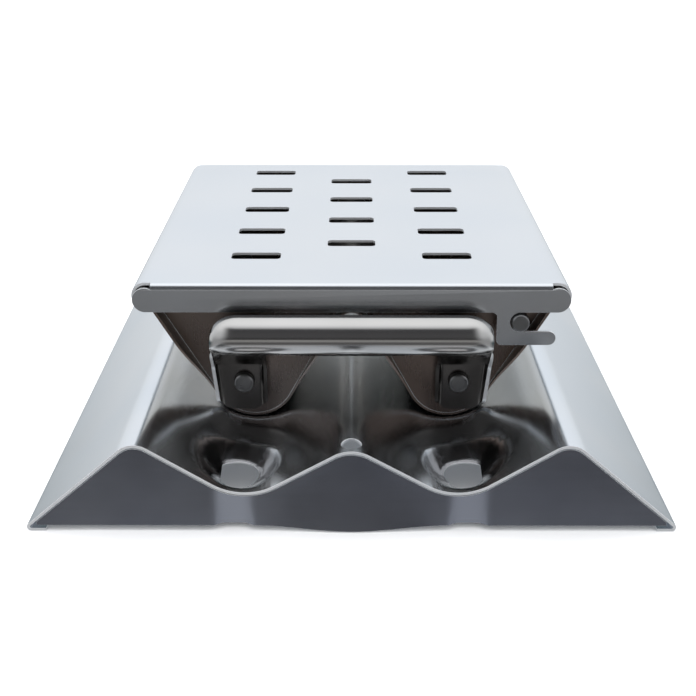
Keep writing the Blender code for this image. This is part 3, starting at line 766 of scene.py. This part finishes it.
def headed(name, head, rim, dome_height, plates):
    """A rivet or pin turned about Z, its tip at zero: head, shank, and peened tail."""
    shoulder = dome_height + rim
    tail = shoulder + plates
    dome = [(head - dome_height + dome_height * math.sin(turn),
             dome_height * (1 - math.cos(turn))) for turn in quarter_turn(DOME_STEPS)]
    crown = [(dome[0][0] * i / CROWN_STEPS, 0) for i in range(CROWN_STEPS)]
    profile = crown + dome
    profile += [(head, shoulder), (SHANK_RADIUS, shoulder), (SHANK_RADIUS, tail)]
    profile += [(TAIL_RADIUS * math.cos(turn), tail + TAIL_HEIGHT * math.sin(turn))
                for turn in quarter_turn(TAIL_STEPS)]
    shape = bmesh.new()
    rings = []
    for radius, depth in profile:
        if radius < MERGE:
            rings.append([shape.verts.new((0, 0, -depth))])
            continue
        turns = [2 * math.pi * i / TURNED_STEPS for i in range(TURNED_STEPS)]
        rings.append([shape.verts.new((radius * math.cos(t), radius * math.sin(t), -depth))
                      for t in turns])
    for above, below in zip(rings, rings[1:]):
        for i in range(TURNED_STEPS):
            j = (i + 1) % TURNED_STEPS
            around = [above[i % len(above)], below[i % len(below)],
                      below[j % len(below)], above[j % len(above)]]
            shape.faces.new(list(dict.fromkeys(around)))
    bmesh.ops.recalc_face_normals(shape, faces=shape.faces)
    mesh = finish_mesh(name, shape)
    mesh.shade_smooth()
    mesh.set_sharp_from_angle(angle=SHARP_ANGLE)
    return new_object(name, mesh)


def place_turned(piece, place, facing, tip):
    """Turns a pin or rivet to an end, with its tip at its distance from the middle."""
    piece.rotation_euler = (math.radians(90) * -facing, 0, 0)
    piece.location = (place[0], facing * tip, place[1])
    bpy.context.view_layer.update()
    piece.data.transform(piece.matrix_world)
    piece.matrix_world = Matrix()


def make_hinge_pin(node, facing, finishes):
    """A stud on an end plate that the lid's hook turns on."""
    tip = LID_FRONT_Y + PIN_PROUD + PIN_DOME
    barrel = tip - PIN_DOME - END_FACE_Y - GAP
    made = headed(node + "_turned", PIN_RADIUS, barrel, PIN_DOME, SHEET + 2 * GAP)
    place_turned(made, (PIN_X, PIN_Z), facing, tip)
    dress(made, finishes, "smoker_box", node)


def make_handle_rivet(node, side, finishes):
    """A rivet through an ear of the handle and the front end plate."""
    stack = SHEET + HANDLE_SHEET + 3 * GAP
    tip = END_FACE_Y + HANDLE_SHEET + 2 * GAP + RIVET_RIM + RIVET_DOME
    made = headed(node + "_turned", RIVET_RADIUS, RIVET_RIM, RIVET_DOME, stack)
    place_turned(made, (side * RIVET_X, RIVET_Z), -1, tip)
    dress(made, finishes, "smoker_box", node)


def ear_path():
    """Across the right ear, inner edge to outer, as (x, how far forward) points."""
    return filleted([
        (EAR_INNER_X, EAR_FLANGE, 0),
        (EAR_INNER_X + EAR_DRAFT, 0, EAR_BEND_RADIUS),
        (EAR_OUTER_X - EAR_DRAFT, 0, EAR_BEND_RADIUS),
        (EAR_OUTER_X, EAR_FLANGE, 0),
    ], BEND_STEP)


def handle_section(x, forward):
    """Points up the handle at one place across it: ear, neck and grip, front faces."""
    ear_y = END_FACE_Y + GAP + HANDLE_SHEET + forward
    crease = BOX_BOTTOM_Z + EAR_CREASE_RISE
    bottom = BOX_BOTTOM_Z + EAR_BOTTOM_RISE
    away = min(abs(x) - EAR_INNER_X, EAR_OUTER_X - abs(x))
    if away < EAR_CORNER:
        inside = EAR_CORNER - max(away, 0)
        bottom += EAR_CORNER - math.sqrt(EAR_CORNER ** 2 - inside ** 2)
    ear = [(ear_y, lerp(bottom, crease, i / EAR_STEPS)) for i in range(EAR_STEPS + 1)]
    past = min(max(abs(x) - (EAR_OUTER_X - GRIP_END_RADIUS), 0) / GRIP_END_RADIUS, 1)
    shrink = lerp(GRIP_END_SHARE, 1, math.sqrt(1 - past ** 2))
    radius = GRIP_RADIUS * shrink
    centre_y = END_FACE_Y + GRIP_STAND
    centre_z = LID_TOP_Z - GRIP_DROP - (GRIP_RADIUS - radius) * GRIP_SINK_SHARE
    grip = [(centre_y + radius * math.cos(turn), centre_z + radius * math.sin(turn))
            for turn in (lerp(GRIP_START, GRIP_FINISH, i / GRIP_STEPS)
                         for i in range(GRIP_STEPS + 1))]
    neck = [(lerp(ear_y, grip[0][0], i / NECK_STEPS), lerp(crease, grip[0][1], i / NECK_STEPS))
            for i in range(1, NECK_STEPS)]
    return ear + neck + grip


def handle_columns():
    """Places across the handle, as (x, how far forward), closest where its ears bend."""
    ear = divided(ear_path(), EAR_COLUMN)
    count = math.ceil(2 * EAR_INNER_X / GRIP_COLUMN)
    middle = [(lerp(-EAR_INNER_X, EAR_INNER_X, i / count), 0) for i in range(1, count)]
    return [(-x, forward) for x, forward in reversed(ear)] + middle + ear


def make_handle(finishes):
    """One open sheet: full height at the ears, and the grip alone between them."""
    columns = handle_columns()
    first_grip_row = EAR_STEPS + NECK_STEPS
    shape = bmesh.new()
    sheet = []
    for x, forward in columns:
        is_ear = abs(x) >= EAR_INNER_X - MERGE
        column = []
        for row, (y, z) in enumerate(handle_section(x, forward)):
            taper = 0
            if row < EAR_STEPS and abs(x) > EAR_INNER_X + MERGE:
                across = (abs(x) - EAR_INNER_X) / (EAR_OUTER_X - EAR_INNER_X)
                taper = EAR_TAPER * across * (1 - row / EAR_STEPS)
            keep = is_ear or row >= first_grip_row
            place = (x - math.copysign(taper, x), -y, z)
            column.append(shape.verts.new(place) if keep else None)
        sheet.append(column)
    for a, b in zip(sheet, sheet[1:]):
        for row in range(len(a) - 1):
            corners = (a[row], b[row], b[row + 1], a[row + 1])
            if None not in corners:
                face = shape.faces.new(corners)
                # the ears' faces get the darker steel that paints their shade
                if row < first_grip_row:
                    outer = abs(corners[0].co.x) > RIVET_X
                    face.material_index = OUTER_EAR_SHADE_STEEL if outer else INNER_EAR_SHADE_STEEL
    made = make_sheet("handle_sheet", shape, HANDLE_SHEET, even=False)
    soften(made, finish=NEIGHBOUR_STEEL)
    dress(made, finishes, "smoker_box", "handle")


def feed(tree, target, feeds):
    """Gives each named input of a node a value, or links another node's output to it."""
    for name, source in feeds.items():
        if isinstance(source, bpy.types.NodeSocket):
            tree.links.new(source, target.inputs[name])
        else:
            target.inputs[name].default_value = source


def add(tree, kind, feeds):
    """Adds a node and feeds its inputs; gives back its outputs."""
    made = tree.nodes.new(kind)
    feed(tree, made, feeds)
    return made.outputs


def mix(tree, kind, factor, a, b):
    """A blend from a to b, which are two numbers (FLOAT) or two colours (RGBA)."""
    made = tree.nodes.new("ShaderNodeMix")
    made.data_type = kind
    feed(tree, made, {"Factor": factor, "A": a, "B": b})
    return made.outputs["Result"]


def ranged(tree, value, source, result=(0, 1), kind="LINEAR", clamp=True):
    """A number taken from one range to another."""
    made = tree.nodes.new("ShaderNodeMapRange")
    made.interpolation_type = kind
    made.clamp = clamp
    feed(tree, made, {"Value": value, "From Min": source[0], "From Max": source[1],
                      "To Min": result[0], "To Max": result[1]})
    return made.outputs["Result"]


def absolute(tree, value):
    made = tree.nodes.new("ShaderNodeMath")
    made.operation = "ABSOLUTE"
    feed(tree, made, {"Value": value})
    return made.outputs["Value"]


def ramp(tree, value, stops):
    """Colours that follow a number from 0 to 1, eased between their stops."""
    made = tree.nodes.new("ShaderNodeValToRGB")
    made.color_ramp.interpolation = "EASE"
    elements = made.color_ramp.elements
    elements[0].position, elements[0].color = stops[0][0], (*stops[0][1], 1)
    elements[1].position, elements[1].color = stops[-1][0], (*stops[-1][1], 1)
    for position, colour in stops[1:-1]:
        elements.new(position).color = (*colour, 1)
    feed(tree, made, {"Fac": value})
    return made.outputs["Color"]


def steel(name, colour, tint, roughness, spread, grain_axis, metal):
    """Polished stainless: fine grain along one axis, cloudy roughness and a faint tint."""
    made = bpy.data.materials.new(name)
    made.use_nodes = True
    tree = made.node_tree
    place = add(tree, "ShaderNodeTexCoord", {})["Object"]

    scale = [GRAIN_ALONG if axis == grain_axis else GRAIN_ACROSS for axis in range(3)]
    stretched = add(tree, "ShaderNodeMapping", {"Vector": place, "Scale": scale})["Vector"]
    grain = add(tree, "ShaderNodeTexNoise", {
        "Vector": stretched, "Scale": 1, "Detail": GRAIN_DETAIL})["Fac"]
    clouds = add(tree, "ShaderNodeTexNoise", {
        "Vector": place, "Scale": CLOUD_SCALE, "Detail": CLOUD_DETAIL,
        "Roughness": CLOUD_ROUGHNESS})["Fac"]
    patches = add(tree, "ShaderNodeTexNoise", {
        "Vector": place, "Scale": PATCH_SCALE, "Detail": PATCH_DETAIL})["Fac"]

    uneven = mix(tree, "FLOAT", GRAIN_SHARE, clouds, grain)
    patched = ranged(tree, patches, PATCH_SPAN)
    relief = add(tree, "ShaderNodeBump", {
        "Strength": GRAIN_BUMP, "Distance": GRAIN_DEPTH, "Height": grain})["Normal"]
    feed(tree, tree.nodes["Principled BSDF"], {
        "Base Color": mix(tree, "RGBA", patched, (*colour, 1), (*tint, 1)),
        "Metallic": metal,
        "Roughness": ranged(tree, uneven, CLOUD_SPAN, (roughness - spread, roughness + spread)),
        "Normal": relief,
    })
    return made


def paint_dish_shade(finish):
    """Paints shade into the pressed dishes: a mask round their centres darkens the steel's
    colour there.
    """
    tree = finish.node_tree
    place = add(tree, "ShaderNodeTexCoord", {})["Object"]
    axes = add(tree, "ShaderNodeSeparateXYZ", {"Vector": place})
    centre = (VALLEY_X + DISH_OFFSET, PLATE_FRONT_Y - DISH_INSET)
    shares = {}
    for axis, middle, half in zip("XY", centre, (DISH_HALF_WIDTH, DISH_HALF_LENGTH)):
        away = absolute(tree, axes[axis])
        shares[axis] = ranged(tree, away, (middle, middle + half), clamp=False)
    outward = add(tree, "ShaderNodeCombineXYZ", shares)["Vector"]
    length = tree.nodes.new("ShaderNodeVectorMath")
    length.operation = "LENGTH"
    feed(tree, length, {"Vector": outward})
    mask = ranged(tree, length.outputs["Value"], DISH_PAINTED_SHADE_FADE, (1, 0), "SMOOTHSTEP")
    shader = tree.nodes["Principled BSDF"]
    bright = shader.inputs["Base Color"].links[0].from_socket
    feed(tree, shader, {"Base Color": mix(tree, "RGBA", mask, bright, (*DISH_PAINTED_SHADE, 1))})


def make_camera():
    lens = bpy.data.cameras.new("camera")
    lens.lens = LENS_MM
    made = new_object("camera", lens)
    made.location = CAMERA_PLACE
    made.rotation_euler = (CAMERA_TILT, 0, CAMERA_YAW)
    bpy.context.scene.camera = made


def make_floor():
    """Pale paper that the steel doesn't mirror: the sky's lower half stands for it there."""
    ends = (-FLOOR_HALF, FLOOR_HALF)
    shape = grid([[(x, y, 0) for x in ends] for y in ends])
    made = new_object("floor", finish_mesh("floor", shape))
    finish = bpy.data.materials.new("floor_paper")
    finish.use_nodes = True
    tree = finish.node_tree
    fibres = add(tree, "ShaderNodeTexNoise", {"Scale": PAPER_FIBRES})["Fac"]
    feed(tree, tree.nodes["Principled BSDF"], {
        "Base Color": ranged(tree, fibres, (0, 1), PAPER_SHADES),
        "Roughness": PAPER_ROUGHNESS,
        "Specular IOR Level": PAPER_SPECULAR,
    })
    made.data.materials.append(finish)
    made.visible_glossy = False


def make_sun(name, towards, strength):
    """A very wide, soft sun for what scatters light: the paper, and a little the cut edges."""
    light = bpy.data.lights.new(name, "SUN")
    light.angle = SUN_SPREAD
    light.energy = strength
    made = new_object(name, light)
    made.rotation_euler = Vector(towards).to_track_quat("Z", "Y").to_euler()
    made.visible_glossy = False


def make_world():
    """Soft studio for the steel: bright above and behind the object, mostly dark in front.

    The camera itself sees plain white.
    """
    world = bpy.data.worlds.new("studio")
    bpy.context.scene.world = world
    world.use_nodes = True
    tree = world.node_tree
    place = add(tree, "ShaderNodeTexCoord", {})["Generated"]
    axes = add(tree, "ShaderNodeSeparateXYZ", {"Vector": place})
    up = ranged(tree, axes["Z"], (-1, 1))
    back = ranged(tree, axes["Y"], (-1, 1))
    sideways = ramp(tree, absolute(tree, axes["X"]), TO_THE_SIDE)
    front = mix(tree, "RGBA", sideways, ramp(tree, up, SKY_BEFORE), ramp(tree, up, SKY_ASIDE))
    sky = mix(tree, "RGBA", ramp(tree, back, TO_THE_BACK), front, ramp(tree, up, SKY_BEHIND))
    seen = add(tree, "ShaderNodeLightPath", {})["Is Camera Ray"]
    feed(tree, tree.nodes["Background"], {
        "Color": mix(tree, "RGBA", seen, sky, (*WHITE, 1)), "Strength": 1.0})


def main():
    bpy.context.scene.view_settings.view_transform = "Standard"
    steels = {name: steel(name + "_steel_fine", *look) for name, look in STEELS.items()}

    def pick(*names):
        return [steels[name] for name in names]

    # paints the dishes' shade into the plate steel's colour
    paint_dish_shade(steels["plate"])
    make_heat_plate(pick("plate", "edge"))
    make_panel("heat_plate_front_panel", -1, pick("panel", "edge"))
    make_panel("heat_plate_rear_panel", 1, pick("panel", "edge"))
    make_trough(pick("box", "end", "inside"))
    make_end_plate("front_end_plate", -1, pick("end", "edge"))
    make_end_plate("rear_end_plate", 1, pick("end", "edge"))
    make_lid(pick("lid", "edge"))
    make_hinge_pin("hinge_pin_front", -1, pick("rivet"))
    make_hinge_pin("hinge_pin_rear", 1, pick("rivet"))
    # the last ear steel goes on the inner flanges' cut rims instead of the edge steel: a painted
    # shadow there
    make_handle(pick("handle", "edge", "ear", "edge", "ear", "ear"))
    make_handle_rivet("handle_rivet_left", -1, pick("rivet"))
    make_handle_rivet("handle_rivet_right", 1, pick("rivet"))

    make_camera()
    make_floor()
    make_world()
    for name, (towards, strength) in SUNS.items():
        make_sun(name, towards, strength)


main()
